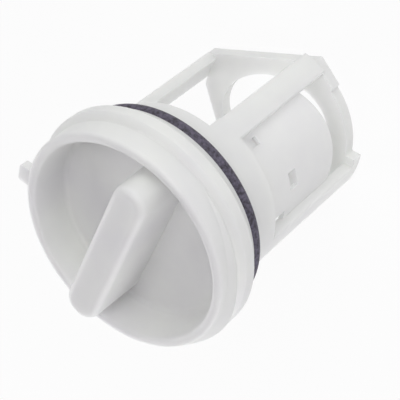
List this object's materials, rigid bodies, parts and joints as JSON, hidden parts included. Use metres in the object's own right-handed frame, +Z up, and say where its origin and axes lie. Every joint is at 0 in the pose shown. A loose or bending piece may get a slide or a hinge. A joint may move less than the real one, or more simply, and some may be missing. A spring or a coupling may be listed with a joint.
{
  "type": "washing machine drain pump filter",
  "caption": "White moulded drain pump filter: a round screw-in cap with a recessed turning bar, a black O-ring behind it, and an open ribbed basket with a holed end plate.",
  "frame": {"origin": "centre of the end face of the basket, which the filter stands on", "axes": "+Z up the filter's axis from the basket to the cap, +X out through the basket's one closed side, Y through the open sides next to it"},
  "size_m": [0.0614, 0.0614, 0.0745],
  "materials": {
    "white_polypropylene": "satin moulded polypropylene, slightly translucent white",
    "black_rubber": "matt moulded nitrile rubber"
  },
  "bodies": {
    "root": {"filter_body": "white_polypropylene", "seal_ring": "black_rubber"}
  },
  "joints": []
}
